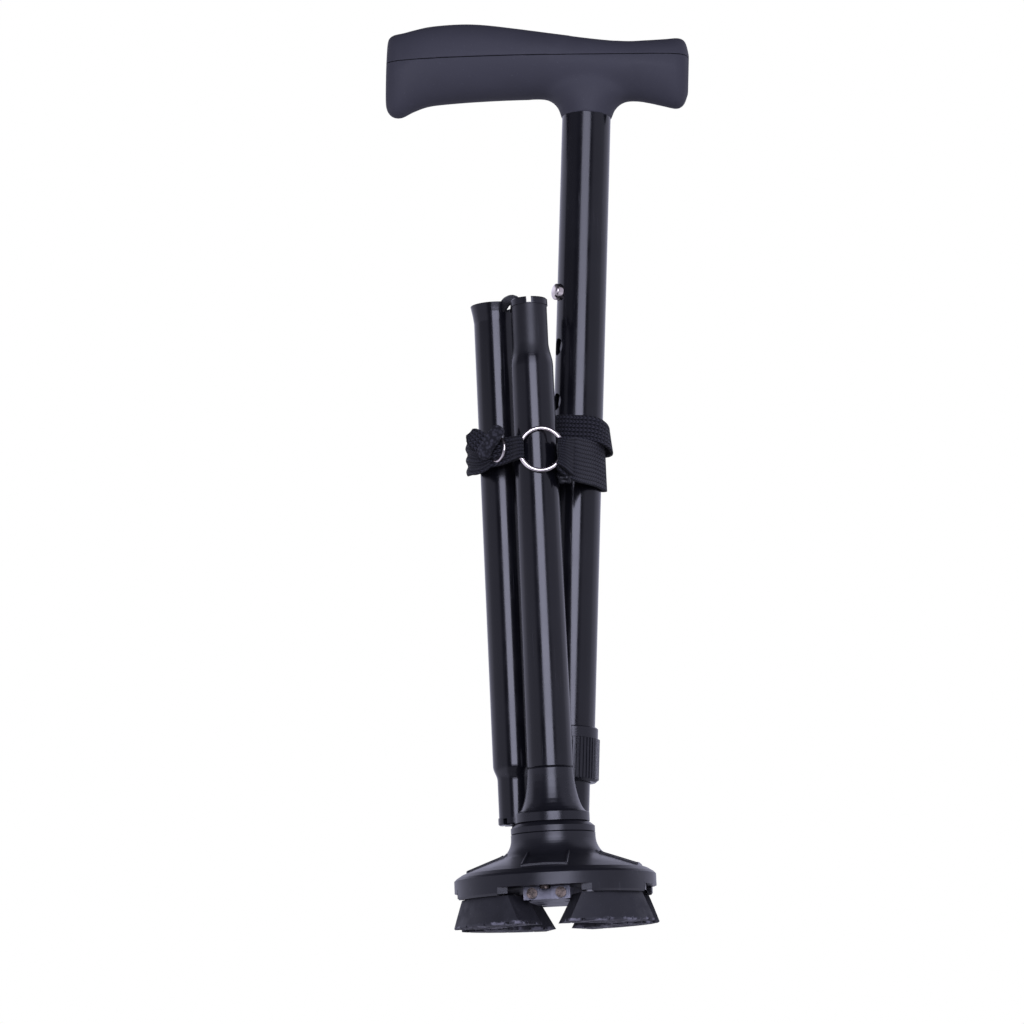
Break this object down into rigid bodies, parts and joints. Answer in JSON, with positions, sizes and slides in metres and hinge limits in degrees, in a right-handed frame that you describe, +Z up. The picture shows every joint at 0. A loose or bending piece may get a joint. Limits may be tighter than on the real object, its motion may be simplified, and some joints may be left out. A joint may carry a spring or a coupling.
{
  "type": "folding cane",
  "caption": "Folding walking cane shown folded: T handle, height-adjusting shaft, sections on an elastic cord, wrist strap round the bundle and a tilting base with rubber feet.",
  "frame": {"origin": "middle of the four soles, on the axis of the lower section", "axes": "+Z up along the lower section, +X to the tail of the handle, +Y to the back of the bundle"},
  "size_m": [0.1401, 0.0969, 0.4156],
  "materials": {
    "soft_touch": "soft-touch coated handle, dark blue grey",
    "black_tube": "gloss black coated aluminium tube",
    "black_plastic": "satin black moulded plastic",
    "foot_rubber": "matt black rubber",
    "bright_metal": "bright plated steel",
    "zinc_block": "plain cast grey metal",
    "nylon": "natural nylon",
    "elastic": "black braided elastic cord",
    "webbing": "black ribbed nylon webbing"
  },
  "bodies": {
    "base": {"base_shell": "black_plastic", "pivot_ring": "black_plastic", "retainer_block": "zinc_block", "retainer_screws": "bright_metal", "foot_front_left": "foot_rubber", "foot_front_right": "foot_rubber", "foot_rear_left": "foot_rubber", "foot_rear_right": "foot_rubber"},
    "pivot_cup": {"ball_liner": "nylon"},
    "lower_section": {"ball_stud": "bright_metal", "pivot_bell": "black_plastic", "lower_tube": "black_tube", "lower_ferrule": "black_plastic", "cord_anchor_lower": "bright_metal", "cord_lower": "elastic"},
    "first_fold": {"cord_bend_top": "elastic"},
    "middle_section": {"middle_tube": "black_tube", "middle_ferrule": "black_plastic", "cord_middle": "elastic"},
    "second_fold": {"cord_bend_bottom": "elastic"},
    "inner_section": {"inner_tube": "black_tube", "inner_bush": "black_plastic", "cord_upper": "elastic", "cord_anchor_upper": "bright_metal", "button_spring": "bright_metal"},
    "button": {"snap_button": "bright_metal"},
    "handle_section": {"upper_tube": "black_tube", "collet": "black_plastic", "collar_ring": "black_plastic", "handle_body": "soft_touch", "handle_pad": "soft_touch", "strap_wrap": "webbing", "strap_loop": "webbing", "strap_tab": "webbing", "strap_ring": "bright_metal", "strap_keeper": "bright_metal"},
    "nut": {"lock_nut": "black_plastic"}
  },
  "joints": [
    {"name": "base_tilt_side", "type": "hinge", "parent": "base", "child": "pivot_cup", "pos_m": [0, 0, 0.0225], "axis": [0, 1, 0], "range_deg": [-10, 10], "stiffness_Nm_per_rad": 15},
    {"name": "base_tilt_fore", "type": "hinge", "parent": "pivot_cup", "child": "lower_section", "pos_m": [0, 0, 0.0225], "axis": [1, 0, 0], "range_deg": [-10, 10], "stiffness_Nm_per_rad": 15},
    {"name": "fold_lower", "type": "hinge", "parent": "lower_section", "child": "first_fold", "pos_m": [-0.00814, 0.01105, 0.2804], "axis": [0.8049, 0.5934, 0], "range_deg": [0, 180], "deforming": ["cord_lower", "cord_bend_top", "cord_middle", "strap_wrap", "strap_loop", "strap_tab", "strap_ring", "strap_keeper"]},
    {"name": "seat_lower", "type": "slide", "parent": "first_fold", "child": "middle_section", "axis": [0, 0, 1], "range_m": [0, 0.0323]},
    {"name": "seat_upper", "type": "slide", "parent": "middle_section", "child": "second_fold", "axis": [0, 0, 1], "range_m": [0, 0.0215]},
    {"name": "fold_upper", "type": "hinge", "parent": "second_fold", "child": "inner_section", "pos_m": [-0.00526, 0.02524, 0.04553], "axis": [-0.274, 0.9617, 0], "range_deg": [0, 175.7], "deforming": ["cord_bend_bottom", "cord_upper"]},
    {"name": "height_slide", "type": "slide", "parent": "inner_section", "child": "handle_section", "axis": [0.0721, 0.0205, 0.9972], "range_m": [0, 0.1524]},
    {"name": "button_press", "type": "slide", "parent": "inner_section", "child": "button", "axis": [0.9109, 0.406, -0.0742], "range_m": [0, 0.0046], "stiffness_N_per_m": 400, "deforming": ["button_spring"]},
    {"name": "nut_twist", "type": "hinge", "parent": "handle_section", "child": "nut", "pos_m": [0.00584, 0.0284, 0.0462], "axis": [0.0721, 0.0205, 0.9972], "range_deg": [0, 180]}
  ],
  "couplings": [
    {"joint": "fold_upper", "follows": "fold_lower", "ratio": 0.97611}
  ]
}
